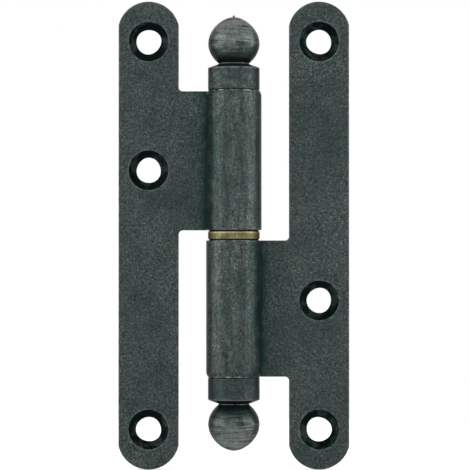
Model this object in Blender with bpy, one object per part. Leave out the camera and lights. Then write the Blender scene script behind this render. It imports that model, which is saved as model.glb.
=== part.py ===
# A lift-off hinge of blackened steel, the kind that hangs a shutter or an old door.
#
# Each leaf is one strip of sheet with rounded ends. Its middle is cranked back from the
# barrel and rolled into one knuckle. The lower knuckle holds the pin, a loose brass ring
# lies on that knuckle, and the upper leaf drops over the pin. A turned ball closes each
# end of the barrel.
#
# Metres, +Z up along the pin, with the origin at the middle of the brass ring.
# The countersunk faces look towards -Y. The door leaf lies towards -X, the frame leaf
# towards +X.

import math

import bmesh
import bpy
from mathutils import Matrix, Vector

# Running and seating gaps
seat_gap = 0.0003          # between pieces that touch
seam_gap = 0.0004          # between the rolled edge of the sheet and the leaf's front face

# Sheet that both leaves are pressed from
sheet = 0.0025
leaf_height = 0.110
leaf_reach = 0.0271        # pin axis to a leaf's outer edge
strip_width = 0.0141
end_rise = 0.0055          # height of the arc that rounds each end of the strip
notch_fillet = 0.001       # radius of the inside corners between strip and knuckle
edge_break = 0.00025       # rounding that tumbling gives the sheared edges
closed_gap = 0.003         # between the two front faces when the hinge is shut

# Barrel
bore_radius = 0.004
crank_radius = 0.0025      # middle of the sheet, where it bends back from the roll
upper_knuckle = 0.0327     # length of the knuckle on the door leaf
lower_knuckle = 0.032      # length of the knuckle on the frame leaf
end_taper = 0.0004         # how far the turned outer end of a knuckle draws in
end_taper_length = 0.0009

# Screw holes
hole_radius = 0.0029
sink_radius = 0.00465
sink_angle = math.radians(90)
end_hole_inset = 0.0094    # leaf end to the centre of the nearest hole
middle_hole_rise = 0.0153  # ring to the centre of the hole beside the knuckle

# Pin and ring
pin_end_room = 0.0019      # between the pin's nose and the upper finial's spigot
pin_nose = 0.0012          # length of the rounded nose that finds the upper bore
pin_nose_draw = 0.0009     # how far the nose draws in at its tip
ring_thickness = 0.0018
ring_inset = 0.00045       # how far the ring stands in from the barrel's side
ring_edge = 0.0002         # rounded edge of the ring

# Turned finials
collar_inset = 0.00045     # how far a collar stands in from the barrel's side
collar_height = 0.0049
collar_edge = 0.0002
shoulder_rise = 0.00105    # cone on top of the collar
neck_radius = 0.0036
neck_height = 0.0001
ball_radius = 0.00596
ball_point = 0.0001        # how far the ball's tip is drawn out past a true sphere
pip_radius = 0.00025       # stub left where the upper ball was parted from its bar
pip_height = 0.0004
spigot_length = 0.008
spigot_chamfer = 0.0004

# Fineness of the round shapes
turn_steps = 48
bend_step = math.radians(6)
ball_step = math.radians(9)

# Sizes that follow from the ones above
knuckle_radius = bore_radius + sheet
roll_radius = bore_radius + sheet / 2
pin_radius = bore_radius - seat_gap
ring_bore = pin_radius + seat_gap
ring_radius = knuckle_radius - ring_inset
collar_radius = knuckle_radius - collar_inset
knuckle_start = ring_thickness / 2 + seat_gap
front_y = closed_gap / 2
middle_y = front_y + sheet / 2
strip_inner = leaf_reach - strip_width
strip_centre = leaf_reach - strip_width / 2
trim = seat_gap / 6        # how far a trimming cutter stands past the face it trims


def remove_everything():
    """Empty the scene, so that the script can be run again."""
    for old in list(bpy.data.objects):
        bpy.data.objects.remove(old)


def finish_material(name, colour, roughness, metallic):
    """A plain material with one colour, one roughness and one metallic value."""
    material = bpy.data.materials.new(name)
    material.use_nodes = True
    shader = material.node_tree.nodes["Principled BSDF"]
    shader.inputs["Base Color"].default_value = (*colour, 1.0)
    shader.inputs["Roughness"].default_value = roughness
    shader.inputs["Metallic"].default_value = metallic
    return material


def arc(centre, radius, start, end, step=bend_step):
    """Points along an arc from one angle to another, both ends included."""
    steps = max(1, math.ceil(abs(end - start) / step))
    points = []
    for index in range(steps + 1):
        angle = start + (end - start) * index / steps
        points.append((centre[0] + radius * math.cos(angle), centre[1] + radius * math.sin(angle)))
    return points


def add_object(name, shape, material=None):
    """Turn a bmesh into a smooth-shaded object whose creases stay sharp."""
    bmesh.ops.recalc_face_normals(shape, faces=shape.faces)
    mesh = bpy.data.meshes.new(name)
    shape.to_mesh(mesh)
    shape.free()
    mesh.shade_smooth()
    mesh.set_sharp_from_angle(angle=math.radians(30))
    if material is not None:
        mesh.materials.append(material)
    item = bpy.data.objects.new(name, mesh)
    bpy.context.scene.collection.objects.link(item)
    return item


def prism(points, sweep):
    """Close a loop of points into a face and push it along a straight line."""
    shape = bmesh.new()
    face = shape.faces.new([shape.verts.new(point) for point in points])
    pushed = bmesh.ops.extrude_face_region(shape, geom=[face])
    moved = [item for item in pushed["geom"] if isinstance(item, bmesh.types.BMVert)]
    bmesh.ops.translate(shape, verts=moved, vec=sweep)
    return shape


def turned(profile, closed=False):
    """Spin a profile of (radius, height) points about the vertical axis."""
    shape = bmesh.new()
    verts = [shape.verts.new((radius, 0, height)) for radius, height in profile]
    edges = [shape.edges.new(pair) for pair in zip(verts, verts[1:])]
    if closed:
        edges.append(shape.edges.new((verts[-1], verts[0])))
    bmesh.ops.spin(shape, geom=verts + edges, axis=(0, 0, 1), cent=(0, 0, 0),
                   angle=math.tau, steps=turn_steps)
    bmesh.ops.remove_doubles(shape, verts=shape.verts, dist=1e-7)
    return shape


def cutter(name, shape, host, operation):
    """Hang a hidden guide on its host and let it shape the host with a boolean."""
    guide = add_object(name, shape)
    guide.parent = host
    guide.hide_render = True
    guide.display_type = "WIRE"
    step = host.modifiers.new(name, "BOOLEAN")
    step.operation = operation
    step.solver = "EXACT"
    step.object = guide


def round_edges(host):
    """Round every corner that the press leaves, before the holes are made."""
    rounding = host.modifiers.new("edge_break", "BEVEL")
    rounding.limit_method = "ANGLE"
    rounding.angle_limit = math.radians(50)
    rounding.use_clamp_overlap = False
    rounding.width = edge_break
    rounding.segments = 2


def sheet_section():
    """Cross-section of a leaf, seen along the pin, from its outer edge to the rolled edge.

    The middle line of the sheet runs straight in, bends back on a small arc and then
    wraps the bore on a large one. The two arcs touch where the line between their
    centres crosses them.
    """
    crank_y = middle_y + crank_radius
    crank_x = -math.sqrt((roll_radius + crank_radius) ** 2 - crank_y ** 2)
    touch = math.atan2(crank_y, crank_x)
    rolled_edge = -math.pi - math.asin((front_y - seam_gap) / knuckle_radius)
    crank_start = -math.pi / 2
    crank_end = touch - math.pi
    crank_inner = crank_radius - sheet / 2
    crank_outer = crank_radius + sheet / 2
    front = [(-leaf_reach, front_y)]
    front += arc((crank_x, crank_y), crank_outer, crank_start, crank_end)[:-1]
    front += arc((0, 0), bore_radius, touch, rolled_edge)
    back = [(-leaf_reach, front_y + sheet)]
    back += arc((crank_x, crank_y), crank_inner, crank_start, crank_end)[:-1]
    back += arc((0, 0), knuckle_radius, touch, rolled_edge)
    return front + back[::-1]


def leaf_outline(knuckle_length):
    """Outline of a pressed leaf, seen from the front, with its knuckle above the ring."""
    half_width = strip_width / 2
    half_height = leaf_height / 2
    rise = min(end_rise, half_width)
    radius = (half_width ** 2 + rise ** 2) / (2 * rise)
    spread = math.asin(min(1, half_width / radius))
    up = math.pi / 2
    centre_x = -strip_centre
    top = arc((centre_x, half_height - radius), radius, up + spread, up - spread)
    bottom = arc((centre_x, radius - half_height), radius, spread - up, -spread - up)
    knuckle_end = knuckle_start + knuckle_length
    inside = -strip_inner + notch_fillet
    above = arc((inside, knuckle_end + notch_fillet), notch_fillet, math.pi, 1.5 * math.pi)
    below = arc((inside, knuckle_start - notch_fillet), notch_fillet, up, math.pi)
    past_barrel = knuckle_radius + 4 * seat_gap
    tongue = [(past_barrel, knuckle_end), (past_barrel, knuckle_start)]
    return top + above + tongue + below + bottom


def sink_profile():
    """Half of a countersunk hole, as a solid that runs past both faces of the sheet."""
    slope = math.tan(sink_angle / 2)
    margin = sheet / 2
    mouth = sink_radius + margin * slope
    depth = (sink_radius - hole_radius) / slope
    return [(0, margin), (mouth, margin), (hole_radius, -depth), (hole_radius, -sheet - margin),
            (0, -sheet - margin)]


def taper_profile(knuckle_end):
    """Triangle whose turned ring trims the outer end of a knuckle to a short cone."""
    slope = end_taper / end_taper_length
    outside = knuckle_radius + trim
    return [(outside, knuckle_end - end_taper_length - trim / slope),
            (outside, knuckle_end + trim),
            (knuckle_radius - end_taper - trim * slope, knuckle_end + trim)]


def make_leaf(name, knuckle_length, material):
    """One leaf: rolled stock, cut to its outline, pierced, and tapered at its outer end."""
    margin = sheet
    stock_low = -leaf_height / 2 - margin
    stock_rise = Vector((0, 0, leaf_height + 2 * margin))
    section = prism([(x, y, stock_low) for x, y in sheet_section()], stock_rise)
    leaf = add_object(name, section, material)

    past_front = -knuckle_radius - margin
    depth = Vector((0, -2 * past_front, 0))
    outline = prism([(x, past_front, z) for x, z in leaf_outline(knuckle_length)], depth)
    cutter(name + "_outline", outline, leaf, "INTERSECT")
    round_edges(leaf)

    facing_front = Matrix.Rotation(math.pi / 2, 3, "X")
    end_hole = leaf_height / 2 - end_hole_inset
    for index, height in enumerate((end_hole, middle_hole_rise, -end_hole)):
        drill = turned(sink_profile())
        bmesh.ops.rotate(drill, verts=drill.verts, cent=(0, 0, 0), matrix=facing_front)
        bmesh.ops.translate(drill, verts=drill.verts, vec=(-strip_centre, front_y, height))
        cutter(f"{name}_hole_{index}", drill, leaf, "DIFFERENCE")

    taper = turned(taper_profile(knuckle_start + knuckle_length), closed=True)
    cutter(name + "_taper", taper, leaf, "DIFFERENCE")
    return leaf


def spigot_reach(knuckle_length):
    """Distance from the ring's middle to the end of a finial's spigot in its knuckle."""
    return knuckle_start + knuckle_length + seat_gap - spigot_length


def make_pin(material):
    """The pin, driven into the lower knuckle and rounded where it enters the upper one."""
    low = seat_gap - spigot_reach(lower_knuckle)
    high = spigot_reach(upper_knuckle) - pin_end_room
    profile = [(0, low), (pin_radius - spigot_chamfer, low), (pin_radius, low + spigot_chamfer)]
    for across, up in arc((0, 0), 1, 0, math.pi / 2, math.radians(15)):
        profile.append((pin_radius - pin_nose_draw * (1 - across), high - pin_nose * (1 - up)))
    profile.append((0, high))
    return add_object("pin", turned(profile), material)


def make_ring(material):
    """The loose brass ring that carries the upper leaf, turned with broken edges."""
    half = ring_thickness / 2
    profile = [(ring_bore, -half), (ring_radius - ring_edge, -half), (ring_radius, ring_edge - half),
               (ring_radius, half - ring_edge), (ring_radius - ring_edge, half), (ring_bore, half)]
    return add_object("brass_ring", turned(profile, closed=True), material)


def finial_profile(pip):
    """Outline of a finial, from the end of its spigot up to its tip.

    Height zero is the end face of the knuckle. The ball is a circle whose upper half is
    drawn out towards the tip, a little more the nearer it gets.
    """
    spigot_end = seat_gap - spigot_length
    collar_top = seat_gap + collar_height
    neck_low = collar_top + shoulder_rise
    neck_top = neck_low + neck_height
    centre = neck_top + math.sqrt(ball_radius ** 2 - neck_radius ** 2)
    profile = [(0, spigot_end),
               (pin_radius - spigot_chamfer, spigot_end),
               (pin_radius, spigot_end + spigot_chamfer),
               (pin_radius, seat_gap),
               (collar_radius - collar_edge, seat_gap),
               (collar_radius, seat_gap + collar_edge),
               (collar_radius, collar_top - collar_edge),
               (collar_radius - collar_edge, collar_top),
               (neck_radius, neck_low),
               (neck_radius, neck_top)]
    last = math.acos(pip / ball_radius)
    first = -math.acos(neck_radius / ball_radius)
    for radius, height in arc((0, 0), ball_radius, first, last, ball_step)[1:]:
        climb = max(0, math.atan2(height, radius)) / last
        profile.append((max(0, radius), centre + height + ball_point * climb ** 3))
    if pip:
        tip = profile[-1][1] + pip_height
        profile += [(pip, tip - pip / 2), (pip / 2, tip), (0, tip)]
    return profile


def make_finial(name, pip, material):
    """A ball finial, turned in one piece with its collar and the spigot that holds it."""
    return add_object(name, turned(finial_profile(pip)), material)


def axis_empty(name, parent=None):
    """An empty on the pin's axis, for a body that moves about it or along it."""
    empty = bpy.data.objects.new(name, None)
    empty.empty_display_size = knuckle_radius
    empty.parent = parent
    bpy.context.scene.collection.objects.link(empty)
    return empty


remove_everything()
black_steel = finish_material("black_steel", (0.052, 0.074, 0.068), 0.5, 0.6)
pin_steel = finish_material("pin_steel", (0.25, 0.26, 0.26), 0.35, 1.0)
turned_steel = finish_material("turned_steel", (0.085, 0.102, 0.094), 0.42, 0.7)
dull_brass = finish_material("dull_brass", (0.25, 0.2, 0.105), 0.42, 0.8)

# The frame half stays still: leaf, pin and lower finial
half_turn = (0, math.pi, 0)
male_leaf = make_leaf("male_leaf", lower_knuckle, black_steel)
male_leaf.rotation_euler = half_turn
pin = make_pin(pin_steel)
lower_finial = make_finial("lower_finial", 0, turned_steel)
lower_finial.location.z = -knuckle_start - lower_knuckle
lower_finial.rotation_euler = half_turn

# The ring turns on the pin, and the door half turns with it and lifts off it
leaf_swing = axis_empty("leaf_swing")
brass_ring = make_ring(dull_brass)
brass_ring.parent = leaf_swing
lift_off = axis_empty("lift_off", leaf_swing)
female_leaf = make_leaf("female_leaf", upper_knuckle, black_steel)
female_leaf.parent = lift_off
upper_finial = make_finial("upper_finial", pip_radius, turned_steel)
upper_finial.location.z = knuckle_start + upper_knuckle
upper_finial.parent = lift_off
bpy.context.view_layer.update()
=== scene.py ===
# The looks of a lift-off hinge: two leaves of blackened sheet steel, the pin, a brass ring and
# two turned ball finials, standing upright in a white studio. Metres, in the CAD part's frame.

import math

import bmesh
import bpy
import numpy as np
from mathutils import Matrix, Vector
from mathutils.geometry import delaunay_2d_cdt


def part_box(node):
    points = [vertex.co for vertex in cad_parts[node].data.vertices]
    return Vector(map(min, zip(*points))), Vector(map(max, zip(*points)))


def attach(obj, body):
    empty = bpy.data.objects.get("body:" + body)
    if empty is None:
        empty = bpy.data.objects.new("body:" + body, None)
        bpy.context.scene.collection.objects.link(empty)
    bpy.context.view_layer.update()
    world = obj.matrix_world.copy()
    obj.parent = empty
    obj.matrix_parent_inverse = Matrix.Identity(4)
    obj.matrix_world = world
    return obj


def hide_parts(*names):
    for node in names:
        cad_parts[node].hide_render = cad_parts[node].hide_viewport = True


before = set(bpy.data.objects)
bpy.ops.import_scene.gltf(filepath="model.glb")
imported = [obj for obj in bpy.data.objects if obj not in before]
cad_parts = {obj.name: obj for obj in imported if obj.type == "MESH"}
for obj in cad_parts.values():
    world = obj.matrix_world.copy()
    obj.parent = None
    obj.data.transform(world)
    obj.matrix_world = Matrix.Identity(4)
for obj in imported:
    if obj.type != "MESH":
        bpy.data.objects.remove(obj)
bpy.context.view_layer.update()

# The two leaves: each is one strip of 2.5 mm steel sheet, blanked with round ends, pierced for
# three countersunk screws, bent back and rolled round a bar into its knuckle, tumbled to take
# the sharpness off its edges, and blackened in a hot bath. Oil leaves it dull.

mm = 0.001
sheet = 2.5 * mm
half_sheet = sheet / 2
strip_width = 14.1 * mm
end_rise = 5.5 * mm           # height of the arc that rounds each end of the strip
notch_fillet = 1.0 * mm       # inside corners between the strip and the knuckle's tongue
edge_break = 0.25 * mm        # roundness that tumbling gives the sheared edges
middle_y = 2.75 * mm          # the middle of the flat sheet lies this far behind the pin's axis
bend_radius = 2.5 * mm        # middle of the sheet where it bends back
seam_gap = 0.4 * mm           # rolled edge to the front face
seat_gap = 0.3 * mm           # knuckle to ring, and knuckle to collar
upper_knuckle = 32.7 * mm
lower_knuckle = 32.0 * mm
taper_draw = 0.4 * mm         # the outer end of a knuckle is turned to a short cone
taper_length = 0.9 * mm
hole_radius = 2.9 * mm
sink_radius = 4.65 * mm
sink_break = 0.12 * mm        # roundness of the countersink's rim
out_of_round = 0.06 * mm      # the punch leaves each hole a little lobed
end_hole_inset = 9.4 * mm
middle_hole_rise = 15.3 * mm
wave_count = 9
flat_wave = 0.004 * mm        # height of one of the waves that pressing leaves
rolled_wave = 0.005 * mm      # and of those along the knuckle
sunk_shade_start = 0.05 * mm        # painted shade, partly soot, darkens a hole from this depth
sunk_shade_end = 0.1 * mm           # to this far before its back
seam_reach = 8.6 * mm         # painted shade, partly soot, by the seam starts this far from the pin's axis
rolled_shade_reach = 6.5 * mm        # and this far from the rolled edge, round the knuckle
# the painted shade by the seam fades in over this length and reaches this share of full darkness
seam_fade = 1.9 * mm
seam_shade_weight = 0.7
green_start = strip_width - 1 * mm      # the tongue turns greener from here
green_full = strip_width + 3 * mm       # to here
burr_highlight_reach = 1 * mm           # the turned end of a knuckle has a pale burred rim with a painted highlight within this
crease_angle = 35             # degrees, past which an edge shows as sharp
lattice = 0.42 * mm           # fineness of the leaf's mesh
loop_step = 0.34 * mm
hole_steps = 96

bath_black = (0.0, 0.007, 0.0065)         # blackened steel at its darkest
bath_grey = (0.180, 0.213, 0.2035)        # and at its palest
bath_green = (0.156, 0.199, 0.1875)       # the same where it is stained
rubbed_steel = (0.22, 0.24, 0.235)
# a pale burred rim, partly a painted highlight
burr_highlight_steel = (0.33, 0.36, 0.35)
roll_brown = (0.129, 0.098, 0.07)
# painted shade, partly soot, for the holes and for the seam on the tongue and on the roll
hole_soot_shade = (0.001, 0.0075, 0.0065)
tongue_seam_shade = (0.0, 0.0235, 0.0195)
roll_seam_shade = (0.005, 0.0225, 0.019)

leaf_low, leaf_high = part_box("female_leaf")
leaf_reach = -leaf_low.x
half_height = leaf_high.z
barrel_radius = leaf_high.x
roll_radius = barrel_radius - half_sheet
knuckle_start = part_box("brass_ring")[1].z + seat_gap
upper_end = knuckle_start + upper_knuckle
lower_end = knuckle_start + lower_knuckle
bend_y = middle_y + bend_radius
bend_x = -math.sqrt((roll_radius + bend_radius) ** 2 - bend_y ** 2)
touch = math.atan2(bend_y, bend_x)
bend_turn = touch - math.pi / 2
rolled_turn = touch + math.pi + math.asin((middle_y - half_sheet - seam_gap) / barrel_radius)
bend_at = leaf_reach + bend_x
roll_at = bend_at + bend_radius * bend_turn
blank_length = roll_at + roll_radius * rolled_turn
cap_radius = ((strip_width / 2) ** 2 + end_rise ** 2) / (2 * end_rise)
cap_centre = half_height - cap_radius


def even_line(start, end, step):
    """Points at even steps from one place towards another, without the last."""
    start = np.array(start, float)
    end = np.array(end, float)
    count = max(1, math.ceil(np.linalg.norm(end - start) / step))
    part = np.arange(count)[:, None] / count
    return start + (end - start) * part


def even_arc(centre, radius, start, end, step):
    """Points at even steps along an arc from one angle towards another, without the last."""
    count = max(2, math.ceil(abs(end - start) * radius / step))
    angle = start + (end - start) * np.arange(count) / count
    return np.stack([centre[0] + radius * np.cos(angle), centre[1] + radius * np.sin(angle)], 1)


def circle(steps):
    """Points round a circle of radius one, as two columns, and their angles."""
    angle = np.arange(steps) * math.tau / steps
    return np.stack([np.cos(angle), np.sin(angle)], 1), angle


def blank_outline(knuckle_end):
    """Outline of the flat blank, anticlockwise, in distances along and up the sheet.

    Two arcs round the strip's ends, straight lines join them, and a tongue runs off to the
    side between the ring and the knuckle's end, with a small fillet on each side of its root.
    """
    half = strip_width / 2
    spread = math.asin(half / cap_radius)
    side = half_height - end_rise
    up = math.pi / 2
    root = strip_width + notch_fillet
    fine = loop_step / 3
    coarse = loop_step * 0.7
    return np.concatenate([
        even_arc((half, -cap_centre), cap_radius, -up - spread, spread - up, coarse),
        even_line((strip_width, -side), (strip_width, knuckle_start - notch_fillet), loop_step),
        even_arc((root, knuckle_start - notch_fillet), notch_fillet, math.pi, up, fine),
        even_line((root, knuckle_start), (blank_length, knuckle_start), loop_step),
        even_line((blank_length, knuckle_start), (blank_length, knuckle_end), loop_step),
        even_line((blank_length, knuckle_end), (root, knuckle_end), loop_step),
        even_arc((root, knuckle_end + notch_fillet), notch_fillet, 1.5 * math.pi, math.pi, fine),
        even_line((strip_width, knuckle_end + notch_fillet), (strip_width, side), loop_step),
        even_arc((half, cap_centre), cap_radius, up - spread, up + spread, coarse),
        even_line((0, side), (0, -side), loop_step)])


def moved_in(loop, distance):
    """The loop moved into the sheet: each point goes along the mean of its two sides' normals,
    further at a corner, so that both sides stay parallel to where they were."""
    along = np.roll(loop, -1, 0) - loop
    along /= np.linalg.norm(along, axis=1)[:, None]
    inward = np.stack([-along[:, 1], along[:, 0]], 1)
    before = np.roll(inward, 1, 0)
    mitre = (inward + before) / (1 + (inward * before).sum(1))[:, None]
    return loop + mitre * distance


def depth_inside(along, up, knuckle_end):
    """Distance from a point of the blank to its outline, as the larger of two distances.

    One is within the strip: to its sides and to the arcs at its ends. The other is within
    the tongue: to its two long edges and to the rolled edge.
    """
    half = strip_width / 2
    beyond = np.maximum(np.abs(up) - cap_centre, 0)
    cap = cap_radius - np.hypot(along - half, beyond)
    strip = np.minimum(np.minimum(along, strip_width - along), cap)
    tongue = np.minimum(np.minimum(up - knuckle_start, knuckle_end - up), blank_length - along)
    return np.maximum(strip, tongue)


def unevenness(along, up, seed):
    """Slight waves that pressing and rolling leave, as a sum of sines of random direction.

    They run mostly up the knuckle, where the rolls pressed, and any way on the flat.
    """
    draw = np.random.default_rng(seed)
    rolled = np.clip((along - bend_at) / (roll_at - bend_at), 0, 1)
    total = np.zeros_like(along)
    for wave in range(wave_count):
        length = draw.uniform(4, 13) * mm
        heading = draw.uniform(0, math.pi)
        phase = draw.uniform(0, math.tau)
        across = along * math.cos(heading) + up * math.sin(heading)
        flat = np.sin(math.tau / length * across + phase)
        around = along + 0.06 * up * math.cos(heading)
        grooved = np.sin(math.tau / (length * 0.55) * around + phase)
        total += flat * (1 - rolled) * flat_wave + grooved * rolled * rolled_wave
    return total


def bent(along, up, through, knuckle_end):
    """Place in space of a point of the blank: how far along it, how far up, and how far
    through the sheet from its middle, towards the back.

    The middle line runs straight in, turns back on a small arc, and wraps the bore on a
    large one. A point stands off that line along its normal. Near the knuckle's outer end,
    what lies outside the turned cone is drawn in to it.
    """
    turn = np.clip((along - bend_at) / bend_radius, 0, bend_turn) - math.pi / 2
    wrap = touch - np.clip(along - roll_at, 0, None) / roll_radius
    inner = bend_radius - through
    outer = roll_radius + through
    cone = barrel_radius - taper_draw * np.clip(1 - (knuckle_end - up) / taper_length, 0, 1)
    outer = np.where(through > 0, np.minimum(outer, cone), outer)
    flat = along < bend_at
    rolled = along > roll_at
    x = np.where(flat, along - leaf_reach, bend_x + inner * np.cos(turn))
    y = np.where(flat, middle_y + through, bend_y + inner * np.sin(turn))
    x = np.where(rolled, outer * np.cos(wrap), x)
    y = np.where(rolled, outer * np.sin(wrap), y)
    return np.stack([x, y, up], -1)


def ring_walls(rows, count, first, inwards):
    """Faces that join each row of points to the next, where every row is a closed loop of the
    same count and first is the number of the first point."""
    here = first + np.arange((rows - 1) * count).reshape(rows - 1, count)
    beside = first + (np.arange(rows - 1)[:, None] * count + (np.arange(count) + 1) % count)
    quads = np.stack([here, here + count, beside + count, beside], -1).reshape(-1, 4)
    return quads[:, ::-1] if inwards else quads


def filled(loops, centres, radius, knuckle_end, margin):
    """Triangles over the blank between its outline and its holes.

    A square lattice of points covers the blank, without those outside it or too near an
    edge, and all points are joined by a triangulation that keeps the loops as edges.
    """
    along = np.arange(lattice / 2, blank_length, lattice)
    up = np.arange(-half_height, half_height, lattice)
    along, up = [grid.ravel() for grid in np.meshgrid(along, up)]
    keep = depth_inside(along, up, knuckle_end) > margin
    for centre in centres:
        keep &= np.hypot(along - centre[0], up - centre[1]) > radius + lattice * 0.6
    points = np.concatenate(loops + [np.stack([along[keep], up[keep]], 1)])
    edges = []
    first = 0
    for loop in loops:
        number = first + np.arange(len(loop))
        edges += np.stack([number, np.roll(number, -1)], 1).tolist()
        first += len(loop)
    places, _, faces, _, _, _ = delaunay_2d_cdt(points.tolist(), edges, [], 1, 1e-9)
    places = np.array(places)
    faces = np.array(faces)
    middle = places[faces].mean(1)
    open_hole = np.zeros(len(faces), bool)
    for centre in centres:
        open_hole |= np.hypot(middle[:, 0] - centre[0], middle[:, 1] - centre[1]) < radius
    return places, faces[~open_hole]


def hole_profile():
    """Radius and depth down a hole from the front face, and how lobed it is at each depth.

    A small round leads into the 90 degree cone, the bore runs straight, and a round like the
    other edges' ends it at the back. Only the rims stay true circles.
    """
    rim = sink_break * np.array([(1, 0), (0.55, 0.05), (0.2, 0.18), (-0.15, 0.42)])
    back = edge_break * np.array([(0.1, 0.6), (0.4, 0.15), (1, 0)])
    cone_depth = sink_radius - hole_radius
    cone = np.linspace(0.12, 1, 10)
    bore = np.array([0.25, 0.5, 0.75]) * (sheet - cone_depth - edge_break)
    radii = np.concatenate([sink_radius + rim[:, 0], sink_radius - cone * cone_depth,
                            np.full(len(bore), hole_radius), hole_radius + back[:, 0]])
    falls = np.concatenate([rim[:, 1], cone * cone_depth, cone_depth + bore, sheet - back[:, 1]])
    lobed = np.concatenate([np.zeros(len(rim)), cone, np.ones(len(bore)), [1, 0.6, 0]])
    return radii, falls, lobed


def keep_on_points(mesh, layers):
    """Write values into the mesh, one for each point, under each layer's name."""
    for name, values in layers.items():
        layer = mesh.attributes.new(name, "FLOAT", "POINT")
        layer.data.foreach_set("value", values.astype(np.float32))


def leaf_mesh(name, knuckle_end, seed):
    """A leaf's closed mesh, with the blank's own coordinates and its edges kept on the points.

    Rows of points carry the outline and each hole through the sheet; triangles fill the two
    faces between them; and every point is then bent into place. A hole's radius varies round
    it by a sum of two cosines, of twice and three times the angle.
    """
    outline = blank_outline(knuckle_end)
    quarter = np.linspace(0, math.pi / 2, 5)
    insets = edge_break * (1 - np.sin(quarter))
    depths = edge_break * (1 - np.cos(quarter)) - half_sheet
    wall = np.linspace(depths[-1], -depths[-1], 6)[1:-1]
    insets = np.concatenate([insets, np.zeros(len(wall)), insets[::-1]])
    depths = np.concatenate([depths, wall, -depths[::-1]])
    rows = [np.column_stack([moved_in(outline, inset), np.full(len(outline), depth)])
            for inset, depth in zip(insets, depths)]
    points = [np.concatenate(rows)]
    faces = ring_walls(len(rows), len(outline), 0, False).tolist()
    turn = edge_break * math.pi / 4
    into_wall = half_sheet - edge_break - np.abs(depths)
    corner = np.where(into_wall > 0, into_wall + turn, np.abs(insets - edge_break * 0.3))
    edge = [np.repeat(corner, len(outline))]
    sheared = [np.repeat(1 - insets / edge_break, len(outline))]
    sunk = [np.zeros(len(points[0]))]

    radii, falls, lobed = hole_profile()
    ring, angle = circle(hole_steps)
    rim = np.minimum(np.hypot(radii - sink_radius, falls),
                     np.hypot(radii - hole_radius, sheet - falls))
    # a hole's countersink and bore take painted shade, partly soot, from just below the rim to
    # near the back
    sunk_shade = np.clip(falls / sunk_shade_start, 0, 1) * (falls < sheet - sunk_shade_end)
    draw = np.random.default_rng(seed)
    centres = [(strip_width / 2, height) for height in
               (half_height - end_hole_inset, middle_hole_rise, end_hole_inset - half_height)]
    for centre in centres:
        first = sum(len(block) for block in points)
        turned_by = draw.uniform(0, math.tau, 2)
        lobes = np.cos(2 * angle + turned_by[0]) + np.cos(3 * angle + turned_by[1])
        rows = [np.column_stack([centre + (radius + share * out_of_round * lobes)[:, None] * ring,
                                 np.full(hole_steps, fall - half_sheet)])
                for radius, share, fall in zip(radii, lobed, falls)]
        points.append(np.concatenate(rows))
        faces += ring_walls(len(rows), hole_steps, first, True).tolist()
        edge.append(np.repeat(rim, hole_steps))
        sheared.append(np.zeros(len(points[-1])))
        sunk.append(np.repeat(sunk_shade, hole_steps))

    for side, inset, radius in ((-1, insets[0], radii[0]), (1, insets[-1], radii[-1])):
        first = sum(len(block) for block in points)
        loops = [moved_in(outline, inset)] + [centre + radius * ring for centre in centres]
        places, triangles = filled(loops, centres, radius, knuckle_end, inset + lattice * 0.6)
        points.append(np.column_stack([places, np.full(len(places), side * half_sheet)]))
        faces += (triangles[:, ::-side] + first).tolist()
        inside = depth_inside(places[:, 0], places[:, 1], knuckle_end) - edge_break + turn
        for centre in centres:
            from_hole = np.hypot(places[:, 0] - centre[0], places[:, 1] - centre[1]) - radius
            inside = np.minimum(inside, from_hole)
        edge.append(inside)
        sheared.append(np.zeros(len(places)))
        sunk.append(np.zeros(len(places)))

    points = np.concatenate(points)
    along, up, through = points.T
    mesh = bpy.data.meshes.new(name)
    waved = through + unevenness(along, up, seed)
    mesh.from_pydata(bent(along, up, waved, knuckle_end), [], faces)
    blank = mesh.attributes.new("blank", "FLOAT_VECTOR", "POINT")
    blank.data.foreach_set("vector", points.astype(np.float32).ravel())
    # painted shade, partly soot, on the front face by the seam where the knuckle shades the sheet,
    # and round the rolled edge
    near_seam = np.clip((along - leaf_reach + seam_reach) / seam_fade, 0, 1)
    near_seam *= (through < 0) & (along < roll_at)
    rolled_edge = np.clip((along - blank_length + rolled_shade_reach) / seam_fade, 0, 1)
    soot_and_shade = np.maximum(np.concatenate(sunk), seam_shade_weight * np.maximum(near_seam, rolled_edge))
    keep_on_points(mesh, {"edge": np.concatenate(edge), "sheared": np.concatenate(sheared),
                          "soot_and_shade": soot_and_shade})
    return mesh


def finished_piece(name, mesh, turned_over=False):
    """An object of a closed mesh whose doubles are merged, with smooth faces and sharp creases.

    Turned over, it is the same piece after half a turn about the axis from front to back.
    """
    shape = bmesh.new()
    shape.from_mesh(mesh)
    if turned_over:
        for vert in shape.verts:
            vert.co.x = -vert.co.x
            vert.co.z = -vert.co.z
    bmesh.ops.remove_doubles(shape, verts=shape.verts, dist=1e-6)
    bmesh.ops.recalc_face_normals(shape, faces=shape.faces)
    shape.to_mesh(mesh)
    shape.free()
    mesh.shade_smooth()
    mesh.set_sharp_from_angle(angle=math.radians(crease_angle))
    piece = bpy.data.objects.new(name, mesh)
    bpy.context.scene.collection.objects.link(piece)
    return piece


def place(tree, kind, settings=None, **inputs):
    """Add a shader node, set it, and give its inputs a value or a socket to take it from.

    An input's name is written in lower case with _ for a space.
    """
    node = tree.nodes.new(kind)
    for key, value in (settings or {}).items():
        setattr(node, key, value)
    for socket in node.inputs:
        key = socket.name.lower().replace(" ", "_")
        if key in inputs and socket.enabled:
            value = inputs[key]
            if isinstance(value, bpy.types.NodeSocket):
                tree.links.new(value, socket)
            else:
                socket.default_value = value
            inputs.pop(key)
    assert not inputs, (kind, inputs)
    return node


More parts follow.
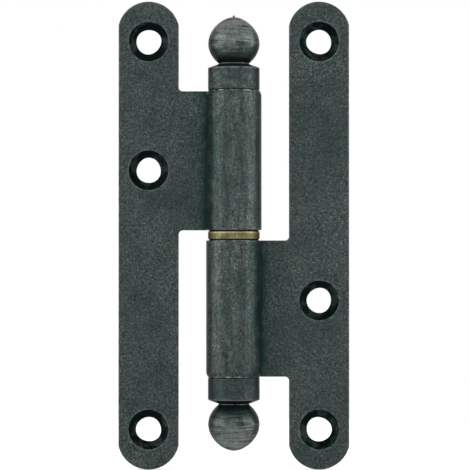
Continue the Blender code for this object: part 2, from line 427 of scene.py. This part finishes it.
def maths(tree, operation, first, second=0.0, clamp=False):
    """The result of a sum on one or two numbers or sockets."""
    node = tree.nodes.new("ShaderNodeMath")
    node.operation = operation
    node.use_clamp = clamp
    for socket, value in zip(node.inputs, (first, second)):
        if isinstance(value, bpy.types.NodeSocket):
            tree.links.new(value, socket)
        else:
            socket.default_value = value
    return node.outputs[0]


def added(tree, value, *others):
    """Numbers or sockets added together."""
    for other in others:
        value = maths(tree, "ADD", value, other)
    return value


def times(tree, value, *others):
    """Numbers or sockets multiplied together."""
    for other in others:
        value = maths(tree, "MULTIPLY", value, other)
    return value


def ranged(tree, value, low, high, new_low=0.0, new_high=1.0, smooth=False):
    """A value carried from one range to another and held within it."""
    node = place(tree, "ShaderNodeMapRange",
                 {"interpolation_type": "SMOOTHSTEP" if smooth else "LINEAR"},
                 value=value, from_min=low, from_max=high, to_min=new_low, to_max=new_high)
    return node.outputs[0]


def noise(tree, vector, scale, **settings):
    """A cloudy value around a half; its clouds are about one over the scale wide."""
    return place(tree, "ShaderNodeTexNoise", vector=vector, scale=scale, **settings).outputs[0]


def stretched(tree, vector, factors):
    """Coordinates for a pattern, each multiplied by its own factor."""
    node = place(tree, "ShaderNodeVectorMath", {"operation": "MULTIPLY"}, vector=vector)
    node.inputs[1].default_value = factors
    return node.outputs[0]


def blended(tree, factor, first, second):
    """A colour between two colours or sockets."""
    node = tree.nodes.new("ShaderNodeMix")
    node.data_type = "RGBA"
    for index, value in ((0, factor), (6, first), (7, second)):
        if isinstance(value, bpy.types.NodeSocket):
            tree.links.new(value, node.inputs[index])
        elif index:
            node.inputs[index].default_value = (*value, 1)
        else:
            node.inputs[index].default_value = value
    return node.outputs[2]


def start_group(name, inputs, outputs):
    """A shader node group with named inputs, each with its first value, and named outputs."""
    tree = bpy.data.node_groups.new(name, "ShaderNodeTree")
    for label, value in inputs.items():
        kind = "NodeSocketVector" if value is None else "NodeSocketFloat"
        socket = tree.interface.new_socket(name=label, in_out="INPUT", socket_type=kind)
        if value is not None:
            socket.default_value = value
    for label in outputs:
        tree.interface.new_socket(name=label, in_out="OUTPUT", socket_type="NodeSocketFloat")
    return tree, tree.nodes.new("NodeGroupInput").outputs, tree.nodes.new("NodeGroupOutput").inputs


def blackened_grain():
    """Uneven tone of a blackened surface: specks a few tenths of a mm wide, finer ones over
    them, pale glints and faint pits here and there, and soft clouds of two sizes, the darker
    ones stained. The specks are stronger in some broad patches than in others. The tone is
    the exponential of their sum, so that pale specks stand out more than dark ones."""
    tree, given, out = start_group(
        "blackened_grain",
        {"Coordinates": None, "Speck Size": 0.6 * mm, "Contrast": 0.3, "Clouds": 0.12},
        ["Tone", "Height", "Stain"])
    coordinates = given["Coordinates"]
    scale = maths(tree, "DIVIDE", 1.0, given["Speck Size"])
    specks = noise(tree, coordinates, scale, detail=2.0, roughness=0.6, distortion=0.7)
    fine = noise(tree, coordinates, times(tree, scale, 2.3), detail=1.0, roughness=0.6)
    clouds = noise(tree, coordinates, 1 / (4.5 * mm), detail=3.0, roughness=0.6)
    broad = noise(tree, coordinates, 1 / (16 * mm), detail=1.0)
    pits = place(tree, "ShaderNodeTexVoronoi", vector=coordinates,
                 scale=times(tree, scale, 0.4)).outputs["Distance"]
    pitted = ranged(tree, pits, 0.12, 0.3, 1, 0, smooth=True)
    glint = ranged(tree, fine, 0.58, 0.72, smooth=True)
    specked = added(tree, ranged(tree, specks, 0.28, 0.72, -0.9, 0.9),
                    ranged(tree, fine, 0.28, 0.72, -0.45, 0.45),
                    times(tree, glint, 0.6), times(tree, pitted, -0.22))
    strength = times(tree, given["Contrast"], ranged(tree, broad, 0.3, 0.7, 0.78, 1.3))
    cloudy = added(tree, ranged(tree, clouds, 0.3, 0.7, -1, 1),
                   ranged(tree, broad, 0.3, 0.7, -0.7, 0.7))
    summed = added(tree, times(tree, specked, strength),
                   times(tree, cloudy, given["Clouds"]), -0.02)
    height = added(tree, specks, times(tree, fine, 0.4), times(tree, pitted, -0.3))
    tree.links.new(maths(tree, "EXPONENT", summed), out["Tone"])
    tree.links.new(height, out["Height"])
    tree.links.new(ranged(tree, cloudy, -0.1, -1.1), out["Stain"])
    return tree


def worn_edge():
    """Where handling has worn an edge bright, in a ragged line along it."""
    tree, given, out = start_group(
        "worn_edge", {"Coordinates": None, "Distance": 0.0, "Width": 0.3 * mm, "Raggedness": 0.5},
        ["Worn"])
    ragged = noise(tree, given["Coordinates"], 1 / (1.4 * mm), detail=3.0, roughness=0.65)
    uneven = times(tree, given["Raggedness"], ranged(tree, ragged, 0.35, 0.65, -2, 1))
    reach = times(tree, given["Width"], added(tree, 1.0, uneven))
    near = maths(tree, "SUBTRACT", 1.0, maths(tree, "DIVIDE", given["Distance"], reach))
    worn = maths(tree, "MULTIPLY", maths(tree, "GREATER_THAN", reach, 0.0),
                 maths(tree, "MAXIMUM", near, 0.0), clamp=True)
    tree.links.new(worn, out["Worn"])
    return tree


grain_group = blackened_grain()
wear_group = worn_edge()


def use(tree, group, **inputs):
    """Place a node group in a material and return its outputs by name."""
    return place(tree, "ShaderNodeGroup", {"node_tree": group}, **inputs).outputs


def start_material(name, roughness, metallic, tint):
    """A material with its Principled shader, whose constants sit on its own sockets."""
    material = bpy.data.materials.new(name)
    material.use_nodes = True
    shader = material.node_tree.nodes["Principled BSDF"]
    shader.inputs["Roughness"].default_value = roughness
    shader.inputs["Metallic"].default_value = metallic
    shader.inputs["Specular Tint"].default_value = (*tint, 1)
    return material, material.node_tree, shader


def finish_surface(tree, shader, colour, roughness, relief, depth, strength):
    """Link a surface's colour, roughness and relief to its shader."""
    bump = place(tree, "ShaderNodeBump", strength=strength, distance=depth, height=relief)
    tree.links.new(colour, shader.inputs["Base Color"])
    tree.links.new(roughness, shader.inputs["Roughness"])
    tree.links.new(bump.outputs[0], shader.inputs["Normal"])


def on_object(tree):
    """Object coordinates, in which a pattern stays where it is on the piece."""
    return place(tree, "ShaderNodeTexCoord").outputs["Object"]


def kept_value(tree, name, output="Fac"):
    """A value that the mesh carries on its points."""
    return place(tree, "ShaderNodeAttribute", {"attribute_name": name}).outputs[output]


def blackened_colour(tree, tone, stain):
    """Colour of blackened steel: black-green where it is darkest, greyer as it gets paler."""
    pale = maths(tree, "MULTIPLY", tone, 0.25, clamp=True)
    return blended(tree, stain, blended(tree, pale, bath_black, bath_grey),
                   blended(tree, pale, bath_black, bath_green))


def leaf_finish():
    """Blackened sheet: specks and clouds, greener on the tongue; upright streaks, ticks, short
    creases and a brown tint on the roll; torn streaks through the thickness on the sheared
    edges; worn edges, a pale burred rim with a painted highlight at the knuckle's outer end,
    and painted shade, partly sooty, in the holes and along the seam."""
    material, tree, shader = start_material("blackened_sheet", 0.5, 0.5, (0, 0, 0))
    shader.inputs["Specular IOR Level"].default_value = 0.1
    coordinates = on_object(tree)
    blank = kept_value(tree, "blank", "Vector")
    edge = kept_value(tree, "edge")
    soot_and_shade = kept_value(tree, "soot_and_shade")
    sheared = kept_value(tree, "sheared")
    along, up, through = place(tree, "ShaderNodeSeparateXYZ", vector=blank).outputs
    rolled = ranged(tree, along, roll_at, roll_at + 3 * mm, smooth=True)
    grain = use(tree, grain_group, coordinates=coordinates, speck_size=0.51 * mm, contrast=0.7,
                clouds=0.13)
    patches = noise(tree, coordinates, 1 / (3.2 * mm), detail=2.0)

    streaks = noise(tree, stretched(tree, blank, (1, 0.12, 0)), 1 / (0.9 * mm), detail=3.0,
                    roughness=0.6)
    ticks = place(tree, "ShaderNodeTexVoronoi", scale=1.0,
                  vector=stretched(tree, blank, (1 / (0.9 * mm), 1 / (5 * mm), 0))).outputs
    chosen = place(tree, "ShaderNodeSeparateXYZ", vector=ticks["Color"]).outputs
    tick_tone = times(tree, ranged(tree, ticks["Distance"], 0.04, 0.12, 1, 0),
                      maths(tree, "GREATER_THAN", chosen[0], 0.66),
                      ranged(tree, chosen[1], 0.4, 0.9, -0.8, 0.6))
    creases = place(tree, "ShaderNodeTexVoronoi", {"feature": "DISTANCE_TO_EDGE"},
                    vector=coordinates, scale=1 / (3.4 * mm)).outputs["Distance"]
    crease_tone = times(tree, ranged(tree, creases, 0, 0.045, 1, 0),
                        ranged(tree, patches, 0.54, 0.6), -0.55)
    roll_tone = added(tree, ranged(tree, streaks, 0.3, 0.7, -0.46, 0.38), tick_tone, crease_tone,
                      0.13)

    torn = stretched(tree, blank, (1, 1, 0.12))
    tears = noise(tree, torn, 1 / (0.35 * mm), detail=2.0, roughness=0.6)
    waves = noise(tree, torn, 1 / (3 * mm), detail=2.0)
    break_line = added(tree, through, ranged(tree, waves, 0.3, 0.7, -0.5 * mm, 0.5 * mm))
    broken = ranged(tree, break_line, -0.35 * mm, -0.1 * mm)
    torn_depth = added(tree, times(tree, broken, 0.7), 0.3)
    tear_tone = added(tree, times(tree, broken, -0.35),
                      times(tree, ranged(tree, tears, 0.3, 0.7, -0.5, 0.5), torn_depth))

    tone = times(tree, grain["Tone"], added(tree, 1.0, times(tree, rolled, roll_tone),
                                            times(tree, sheared, tear_tone)))
    tongue = maths(tree, "SUBTRACT", ranged(tree, along, green_start, green_full), rolled)
    colour = blackened_colour(tree, tone, maths(tree, "MAXIMUM", grain["Stain"], tongue))
    worn = use(tree, wear_group, coordinates=coordinates, distance=edge, width=0.4 * mm,
               raggedness=0.8)["Worn"]
    handled = times(tree, worn, added(tree, times(tree, rolled, 0.4), 0.3))
    colour = blended(tree, handled, colour, rubbed_steel)
    browned = times(tree, rolled, ranged(tree, patches, 0.42, 0.6, 0.0, 0.06))
    colour = blended(tree, browned, colour, roll_brown)
    # a pale burred rim, partly a painted highlight, in a ragged line at the knuckle's outer end
    burr_and_highlight = use(tree, wear_group, coordinates=coordinates, distance=edge, width=0.11 * mm,
               raggedness=1.1)["Worn"]
    outer_end = times(tree, rolled, maths(tree, "GREATER_THAN", up, lower_end - burr_highlight_reach))
    colour = blended(tree, times(tree, burr_and_highlight, outer_end), colour, burr_highlight_steel)
    # painted shade, partly soot, darkens the holes and the seam, unevenly in patches
    soot_shade_cover = times(tree, soot_and_shade, ranged(tree, patches, 0.5, 0.62, 0.98, 0.45))
    seam_shade_colour = blended(tree, rolled, tongue_seam_shade, roll_seam_shade)
    black = blended(tree, ranged(tree, soot_and_shade, seam_shade_weight, 1), seam_shade_colour, hole_soot_shade)
    roughness = added(tree, ranged(tree, grain["Height"], 0.4, 0.9, 0.56, 0.46),
                      times(tree, rolled, -0.16))
    relief = added(tree, grain["Height"], times(tree, tears, broken, sheared))
    finish_surface(tree, shader, blended(tree, soot_shade_cover, colour, black), roughness, relief,
                   0.04 * mm, 0.5)
    return material


blackened_sheet = leaf_finish()
door_leaf = finished_piece("door_leaf", leaf_mesh("door_leaf", upper_end, 5))
frame_leaf = finished_piece("frame_leaf", leaf_mesh("frame_leaf", lower_end, 11), turned_over=True)
for leaf, body, node in ((door_leaf, "door_half", "female_leaf"),
                         (frame_leaf, "frame_half", "male_leaf")):
    leaf.data.materials.append(blackened_sheet)
    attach(leaf, body)
    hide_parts(node)

# The pin: a length of bright drawn bar driven into the lower knuckle. Its upper end is rounded
# to find the other bore, and a film of grease and rubbing has dulled it in bands.

turn_steps = 96
pin_low, pin_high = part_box("pin")
pin_radius = pin_high.x
pin_chamfer = 0.4 * mm
pin_nose = 1.2 * mm
pin_nose_draw = 0.9 * mm
nose_rows = 10
drawn_steel = (0.30, 0.31, 0.31)
grease_brown = (0.13, 0.115, 0.09)


def profile_line(corners, step, rounding=0.0):
    """Even points along straight lines between corners, each corner cut by a small round.

    The round is a curve through the corner's two cut points that leans on the corner, as a
    quadratic one does.
    """
    corners = np.array(corners, float)
    kept = [corners[0]]
    for before, corner, after in zip(corners, corners[1:], corners[2:]):
        back = before - corner
        ahead = after - corner
        cut = min(rounding, np.linalg.norm(back) / 2, np.linalg.norm(ahead) / 2)
        start = corner + back / np.linalg.norm(back) * cut
        end = corner + ahead / np.linalg.norm(ahead) * cut
        part = np.linspace(0, 1, 5 if cut else 1)[:, None]
        kept.extend((1 - part) ** 2 * start + 2 * part * (1 - part) * corner + part ** 2 * end)
    kept.append(corners[-1])
    pieces = [even_line(start, end, step) for start, end in zip(kept, kept[1:])]
    return np.concatenate(pieces + [[kept[-1]]])


def distance_along(profile):
    """Distance of each point of a profile from its first, measured along it."""
    return np.concatenate([[0], np.cumsum(np.linalg.norm(np.diff(profile, axis=0), axis=1))])


def tool_marks(along, seed, spacing, depth):
    """Depth of the fine grooves that a turning tool leaves, at each place along a profile.

    Grooves lie at random, about a spacing apart, and each is a narrow bell curve of its own
    depth and width.
    """
    draw = np.random.default_rng(seed)
    count = int((along.max() - along.min()) / spacing)
    middle = draw.uniform(along.min(), along.max(), count)
    width = draw.uniform(0.12, 0.45, count) * spacing
    deep = draw.uniform(-0.4, 1, count) ** 3 * depth
    return (deep * np.exp(-((along[:, None] - middle) / width) ** 2)).sum(1)


def turned_mesh(name, profile, marks, closed=False, layers=None):
    """The mesh of a profile spun about the vertical axis, with values kept for each row.

    Rows follow the profile and columns the angle. The tool's marks move each row in along
    the profile's normal. A profile that ends on the axis closes there in one point.
    """
    along = distance_along(profile)
    slope = np.gradient(profile, axis=0)
    slope /= np.maximum(np.linalg.norm(slope, axis=1), 1e-12)[:, None]
    carved = profile + np.stack([-slope[:, 1], slope[:, 0]], 1) * marks[:, None]
    on_axis = profile[:, 0] < 1e-9
    carved[on_axis] = profile[on_axis]
    ring, _ = circle(turn_steps)
    rows = len(profile)
    places = np.concatenate([carved[:, :1, None] * ring,
                             np.repeat(carved[:, 1:], turn_steps, 1)[:, :, None]], -1)
    faces = ring_walls(rows, turn_steps, 0, True)
    if closed:
        last = (rows - 1) * turn_steps + np.arange(turn_steps)
        front = np.arange(turn_steps)
        joined = np.stack([last, np.roll(last, -1), np.roll(front, -1), front], 1)
        faces = np.concatenate([faces, joined])
    mesh = bpy.data.meshes.new(name)
    mesh.from_pydata(places.reshape(-1, 3), [], faces.tolist())
    bend = np.abs(np.gradient(np.unwrap(np.arctan2(slope[:, 1], slope[:, 0]))))
    crest = along[np.argwhere(bend > 0.12).ravel()]
    edge = np.abs(along[:, None] - crest).min(1)
    rows_of = {"along": along, "edge": edge, **(layers or {})}
    keep_on_points(mesh, {label: np.repeat(row, turn_steps) for label, row in rows_of.items()})
    return mesh


def turning_marks():
    """Rings that follow a turned profile: thin light and dark lines, broken here and there,
    over broader ones where the tool was moved."""
    tree, given, out = start_group(
        "turning_marks", {"Coordinates": None, "Along": 0.0, "Pitch": 0.25 * mm, "Contrast": 0.3},
        ["Tone", "Height"])
    split = place(tree, "ShaderNodeSeparateXYZ", vector=given["Coordinates"]).outputs
    around = place(tree, "ShaderNodeCombineXYZ", x=times(tree, split[0], 1 / (6.5 * mm)),
                   y=times(tree, split[1], 1 / (6.5 * mm)),
                   z=maths(tree, "DIVIDE", given["Along"], given["Pitch"])).outputs[0]
    lines = noise(tree, around, 1.0, detail=3.0, roughness=0.7)
    broad = noise(tree, stretched(tree, around, (1, 1, 0.27)), 1.0, detail=1.0)
    both = added(tree, ranged(tree, lines, 0.3, 0.7, -0.95, 1.35),
                 ranged(tree, broad, 0.35, 0.65, -0.5, 0.5))
    tree.links.new(added(tree, 1.0, times(tree, both, given["Contrast"])), out["Tone"])
    tree.links.new(lines, out["Height"])
    return tree


turning_group = turning_marks()


def toned(tree, colour, tone):
    """A colour made paler or darker by a tone."""
    node = place(tree, "ShaderNodeVectorMath", {"operation": "SCALE"}, scale=tone)
    node.inputs[0].default_value = colour
    return node.outputs[0]


def pin_finish():
    """Bright drawn bar with rings of rubbing and a thin brown film."""
    material, tree, shader = start_material("drawn_bar", 0.3, 1.0, (1, 1, 1))
    coordinates = on_object(tree)
    rings = use(tree, turning_group, coordinates=coordinates, along=kept_value(tree, "along"),
                pitch=0.5 * mm, contrast=0.25)
    film = noise(tree, coordinates, 1 / (4 * mm), detail=4.0)
    colour = blended(tree, ranged(tree, film, 0.45, 0.7, 0, 0.6),
                     toned(tree, drawn_steel, rings["Tone"]), grease_brown)
    roughness = ranged(tree, film, 0.3, 0.7, 0.26, 0.45)
    finish_surface(tree, shader, colour, roughness, rings["Height"], 0.01 * mm, 0.25)
    return material


nose = np.linspace(0, math.pi / 2, nose_rows)
pin_profile = np.concatenate([
    profile_line([(0, pin_low.z), (pin_radius - pin_chamfer, pin_low.z),
                  (pin_radius, pin_low.z + pin_chamfer), (pin_radius, pin_high.z - pin_nose)],
                 0.3 * mm)[:-1],
    np.stack([pin_radius - pin_nose_draw * (1 - np.cos(nose)),
              pin_high.z - pin_nose * (1 - np.sin(nose))], 1),
    [(0, pin_high.z)]])
no_marks = np.zeros(len(pin_profile))
hinge_pin = finished_piece("hinge_pin", turned_mesh("hinge_pin", pin_profile, no_marks))
hinge_pin.data.materials.append(pin_finish())
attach(hinge_pin, "frame_half")
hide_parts("pin")

# The ring: a loose washer turned from brass bar, which carries the door leaf and turns with
# it. Its edges are broken, and handling has left it dull and brown.

ring_low, ring_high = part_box("brass_ring")
ring_radius = ring_high.x
ring_bore = 4.0 * mm
ring_edge = 0.2 * mm
bearing_radius = 5.8 * mm     # the ring's two faces stand proud inside this radius
bearing_rise = 0.27 * mm
grime_shade_inset = 0.22 * mm       # grime and the painted shade of the gaps cover the faces up to this far from the rim
brass = (0.116, 0.109, 0.0515)
brass_brown = (0.075, 0.052, 0.024)
polished_brass = (0.36, 0.33, 0.22)
# grimy painted shade in the gaps at the knuckles
grime_shade_black = (0.006, 0.009, 0.005)


def ring_finish():
    """Dull brass: fine rings, short upright streaks, brown tarnish in patches, polished in a
    line under its upper edge, and black with grimy painted shade where it bears on the knuckles."""
    material, tree, shader = start_material("dull_brass", 0.42, 0.9, (0.25, 0.2, 0.15))
    coordinates = on_object(tree)
    rings = use(tree, turning_group, coordinates=coordinates, along=kept_value(tree, "along"),
                pitch=0.22 * mm, contrast=0.22)
    tarnish = noise(tree, coordinates, 1 / (2.2 * mm), detail=4.0, roughness=0.65)
    streaks = noise(tree, stretched(tree, coordinates, (1, 1, 0.25)), 1 / (0.5 * mm), detail=2.0,
                    roughness=0.6)
    tone = times(tree, rings["Tone"], ranged(tree, streaks, 0.3, 0.7, 0.62, 1.38))
    colour = blended(tree, ranged(tree, tarnish, 0.45, 0.7, 0, 0.7), toned(tree, brass, tone),
                     brass_brown)
    worn = times(tree, kept_value(tree, "polished"), ranged(tree, tarnish, 0.35, 0.65, 0.95, 0.4))
    colour = blended(tree, worn, colour, polished_brass)
    # grimy painted shade in the gaps where the ring's faces bear on the knuckles
    grime_and_shade = times(tree, kept_value(tree, "grime_shade_mask"), ranged(tree, tarnish, 0.4, 0.6, 0.96, 0.75))
    colour = blended(tree, grime_and_shade, colour, grime_shade_black)
    roughness = ranged(tree, tarnish, 0.3, 0.7, 0.36, 0.55)
    finish_surface(tree, shader, colour, roughness, rings["Height"], 0.02 * mm, 0.3)
    return material


def bright_line(heights, middle, width):
    """One at a height and falling away on both sides of it, as a bell curve does."""
    return np.exp(-((heights - middle) / width) ** 2)


ring_profile = profile_line([(ring_bore, 0), (ring_bore, ring_low.z - bearing_rise),
                             (bearing_radius, ring_low.z - bearing_rise),
                             (bearing_radius, ring_low.z), (ring_radius, ring_low.z),
                             (ring_radius, ring_high.z), (bearing_radius, ring_high.z),
                             (bearing_radius, ring_high.z + bearing_rise),
                             (ring_bore, ring_high.z + bearing_rise), (ring_bore, 0)],
                            0.08 * mm, ring_edge)[:-1]
# the faces and bore inside this radius take the grimy painted shade of the gaps
grime_shade_mask = np.where(ring_profile[:, 0] < ring_radius - grime_shade_inset, 1.0, 0.0)
polished = (0.9 * bright_line(ring_profile[:, 1], ring_high.z - 0.3 * mm, 0.16 * mm)
            + 0.5 * bright_line(ring_profile[:, 1], ring_low.z + 0.08 * mm, 0.12 * mm))
ring_marks = tool_marks(distance_along(ring_profile), 3, 0.3 * mm, 0.012 * mm)
bearing_ring = finished_piece("bearing_ring", turned_mesh(
    "bearing_ring", ring_profile, ring_marks, closed=True,
    layers={"grime_shade_mask": grime_shade_mask, "polished": polished}))
bearing_ring.data.materials.append(ring_finish())
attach(bearing_ring, "ring")
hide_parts("brass_ring")

# The finials: each is turned from bar in one piece, with a spigot driven into the end of its
# knuckle, a collar nearly as wide as the barrel, a thin neck and a ball, and is left with its
# tool marks and blackened. The upper one keeps the stub where it was parted from the bar.

spigot_length = 8.0 * mm
spigot_chamfer = 0.4 * mm
collar_radius = 6.05 * mm
collar_height = 5.05 * mm
collar_edge = 0.2 * mm
seat_radius = 5.95 * mm       # inside this the collar sits on the knuckle, in a shallow groove
seat_clear = 0.03 * mm
seat_line = 0.02 * mm         # painted shade at the collar's seat is darkest up to here
seat_shade = 0.15 * mm        # and a lighter painted shade reaches up to here
shoulder_rise = 0.9 * mm
neck_radius = 3.6 * mm
neck_height = 0.1 * mm
ball_radius = 5.96 * mm
ball_swell = 0.075 * mm       # bulge of the ball's waist and tip, and hollow halfway between
ball_point = 0.17 * mm        # how far its tip is drawn out besides
ball_rows = 260
stub_radius = 0.3 * mm
stub_height = 0.4 * mm
turned_steel = (0.26, 0.275, 0.265)

collar_top = seat_gap + collar_height
neck_low = collar_top + shoulder_rise
ball_start = neck_low + neck_height
ball_centre = ball_start + math.sqrt(ball_radius ** 2 - neck_radius ** 2)


def finial_profile(stub):
    """Profile of a finial from the middle of its spigot's end up to its tip.

    Height zero is the knuckle's end. The ball is a circle whose radius gains a cosine of
    four times the angle from its waist, and whose upper half is drawn out towards the tip
    by the cube of how far round it lies.
    """
    spigot_end = seat_gap - spigot_length
    stem = profile_line([(0, spigot_end), (pin_radius - spigot_chamfer, spigot_end),
                         (pin_radius, spigot_end + spigot_chamfer), (pin_radius, seat_clear),
                         (seat_radius, seat_clear), (seat_radius, seat_gap),
                         (collar_radius, seat_gap), (collar_radius, collar_top),
                         (neck_radius, neck_low), (neck_radius, ball_start)],
                        0.09 * mm, collar_edge)
    last = math.acos(stub / ball_radius)
    first = -math.acos(neck_radius / ball_radius)
    angle = np.linspace(first, last, ball_rows)[1:]
    drawn = ball_point * (np.clip(angle, 0, None) / last) ** 3
    swelled = ball_radius + ball_swell * np.cos(4 * angle)
    ball = np.stack([swelled * np.cos(angle), ball_centre + swelled * np.sin(angle) + drawn], 1)
    if not stub:
        ball[-1, 0] = 0
        return np.concatenate([stem, ball])
    tip = ball[-1, 1] + stub_height
    return np.concatenate([stem, ball, [(stub, tip - stub / 2), (stub * 0.7, tip - stub * 0.1),
                                        (0, tip)]])


def finial_finish():
    """Blackened turned steel: rings round the ball, paler towards its tip partly from rubbing and
    partly as painted light, and painted shade left dark about the neck and at the collar's seat."""
    material, tree, shader = start_material("blackened_turning", 0.42, 0.55, (0, 0, 0))
    shader.inputs["Specular IOR Level"].default_value = 0.1
    coordinates = on_object(tree)
    rubbing_and_painted_light = kept_value(tree, "rubbing_and_painted_light")
    lined = kept_value(tree, "lined")
    rings = use(tree, turning_group, coordinates=coordinates, along=kept_value(tree, "along"),
                pitch=0.36 * mm, contrast=0.44)
    grain = use(tree, grain_group, coordinates=coordinates, speck_size=0.8 * mm, contrast=0.4,
                clouds=0.2)
    ring_tone = times(tree, lined, added(tree, rings["Tone"], -1.0))
    grain_tone = times(tree, added(tree, grain["Tone"], -1.0), ranged(tree, lined, 0, 1, 1, 0.75))
    tone = times(tree, added(tree, 1.0, ring_tone, grain_tone), rubbing_and_painted_light)
    colour = blended(tree, ranged(tree, tone, 0.95, 3.2, 0, 0.75),
                     blackened_colour(tree, tone, grain["Stain"]), turned_steel)
    worn = use(tree, wear_group, coordinates=coordinates, distance=kept_value(tree, "edge"),
               width=0.16 * mm, raggedness=0.6)["Worn"]
    handled = times(tree, worn, ranged(tree, rubbing_and_painted_light, 0.2, 0.9, 0, 0.5))
    colour = blended(tree, handled, colour, rubbed_steel)
    roughness = added(tree, ranged(tree, grain["Height"], 0.4, 0.9, 0.48, 0.38),
                      times(tree, lined, -0.12))
    relief = added(tree, times(tree, rings["Height"], lined), times(tree, grain["Height"], 0.5))
    finish_surface(tree, shader, colour, roughness, relief, 0.025 * mm, 0.4)
    return material


blackened_turning = finial_finish()
for name, node, body, knuckle_end, stub, seed in (
        ("top_finial", "upper_finial", "door_half", upper_end, stub_radius, 21),
        ("bottom_finial", "lower_finial", "frame_half", lower_end, 0, 34)):
    profile = finial_profile(stub)
    height = profile[:, 1]
    lined = np.where(height > ball_start, 1, 0.15)
    # painted light and shade along the finial, partly rubbing: shaded about the shoulder and neck
    # under the ball, paler towards the tip
    rubbing_and_painted_light = np.interp((height - ball_centre) / ball_radius,
                       [-0.97, -0.93, -0.83, -0.805, -0.77, -0.6, -0.35, 0, 0.4, 0.8, 1.04, 1.055],
                       [0.8, 0.35, 0.35, 0.8, 0.25, 0.37, 0.83, 1.2, 1.6, 2.05, 2.45, 0.3])
    rubbing_and_painted_light = np.where(height < collar_top, 0.86, rubbing_and_painted_light)
    # painted shade at the collar's seat, darkest along its lowest edge
    rubbing_and_painted_light = np.where(height < seat_gap + seat_shade, 0.6, rubbing_and_painted_light)
    rubbing_and_painted_light = np.where(height < seat_gap + seat_line, 0.25, rubbing_and_painted_light)
    marks = tool_marks(distance_along(profile), seed, 0.28 * mm, 0.03 * mm) * lined
    profile[:, 1] += knuckle_end
    finial = finished_piece(name, turned_mesh(name, profile, marks,
                                              layers={"rubbing_and_painted_light": rubbing_and_painted_light, "lined": lined}),
                            turned_over=body == "frame_half")
    finial.data.materials.append(blackened_turning)
    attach(finial, body)
    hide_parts(node)

# The studio: the hinge stands on a pale floor in an even white room. Two large soft lamps at
# its sides, nearly level with its faces, draw the bright lines down the barrel, and others
# fill in from the front and from behind.

scene = bpy.context.scene
scene.view_settings.view_transform = "Standard"
floor_top = -half_height - 0.1 * mm
floor_radius = 260 * mm
floor_steps = 128
rim, _ = circle(floor_steps)
floor_mesh = bpy.data.meshes.new("floor")
floor_mesh.from_pydata(np.column_stack([floor_radius * rim, np.full(floor_steps, floor_top)]),
                       [], [list(range(floor_steps))])
floor = bpy.data.objects.new("floor", floor_mesh)
scene.collection.objects.link(floor)


def white_where_seen(tree):
    """One for a ray from the camera, off a gloss or through glass, and nothing for others."""
    path = place(tree, "ShaderNodeLightPath").outputs
    seen = added(tree, path["Is Camera Ray"], path["Is Glossy Ray"])
    return maths(tree, "ADD", seen, path["Is Transmission Ray"], clamp=True)


floor_paint, tree, shader = start_material("floor_paint", 0.9, 0.0, (1, 1, 1))
shader.inputs["Base Color"].default_value = (0.8, 0.8, 0.8, 1)
shader.inputs["Specular IOR Level"].default_value = 0.2
shader.inputs["Emission Color"].default_value = (1, 1, 1, 1)
tree.links.new(times(tree, white_where_seen(tree), 0.55), shader.inputs["Emission Strength"])
floor_mesh.materials.append(floor_paint)

world = bpy.data.worlds.new("white_room")
scene.world = world
world.use_nodes = True
tree = world.node_tree
tree.nodes.clear()
dim = place(tree, "ShaderNodeBackground", color=(1, 1, 1, 1), strength=0.42)
bright = place(tree, "ShaderNodeBackground", color=(1, 1, 1, 1), strength=1.0)
mix = tree.nodes.new("ShaderNodeMixShader")
tree.links.new(white_where_seen(tree), mix.inputs[0])
tree.links.new(dim.outputs[0], mix.inputs[1])
tree.links.new(bright.outputs[0], mix.inputs[2])
tree.links.new(mix.outputs[0], place(tree, "ShaderNodeOutputWorld").inputs[0])


def soft_lamp(name, azimuth, elevation, distance, width, height, power):
    """A rectangular lamp aimed at the hinge from an azimuth, 0 being the camera's side."""
    data = bpy.data.lights.new(name, "AREA")
    data.shape = "RECTANGLE"
    data.size = width
    data.size_y = height
    data.energy = power
    lamp = bpy.data.objects.new(name, data)
    scene.collection.objects.link(lamp)
    turn = math.radians(azimuth)
    lift = math.radians(elevation)
    level = math.cos(lift)
    away = Vector((math.sin(turn) * level, -math.cos(turn) * level, math.sin(lift)))
    lamp.location = away * distance
    lamp.rotation_euler = away.to_track_quat("Z", "Y").to_euler()


soft_lamp("left_lamp", -72, 14, 1.3, 1.3, 1.3, 10.1)
soft_lamp("right_lamp", 75, 14, 1.3, 1.3, 1.3, 9.9)
soft_lamp("front_lamp", 0, 5, 1.3, 0.9, 0.9, 2.8)
soft_lamp("rear_lamp", 180, 25, 1.3, 1.4, 1.0, 4.0)

camera_data = bpy.data.cameras.new("camera")
camera_data.sensor_width = 36
camera_data.lens = 230
camera = bpy.data.objects.new("camera", camera_data)
camera.location = (0.27 * mm, -704 * mm, -10 * mm)
looking = Vector((0.27 * mm, 0, 0.06 * mm)) - camera.location
camera.rotation_euler = looking.to_track_quat("-Z", "Y").to_euler()
scene.collection.objects.link(camera)
scene.camera = camera
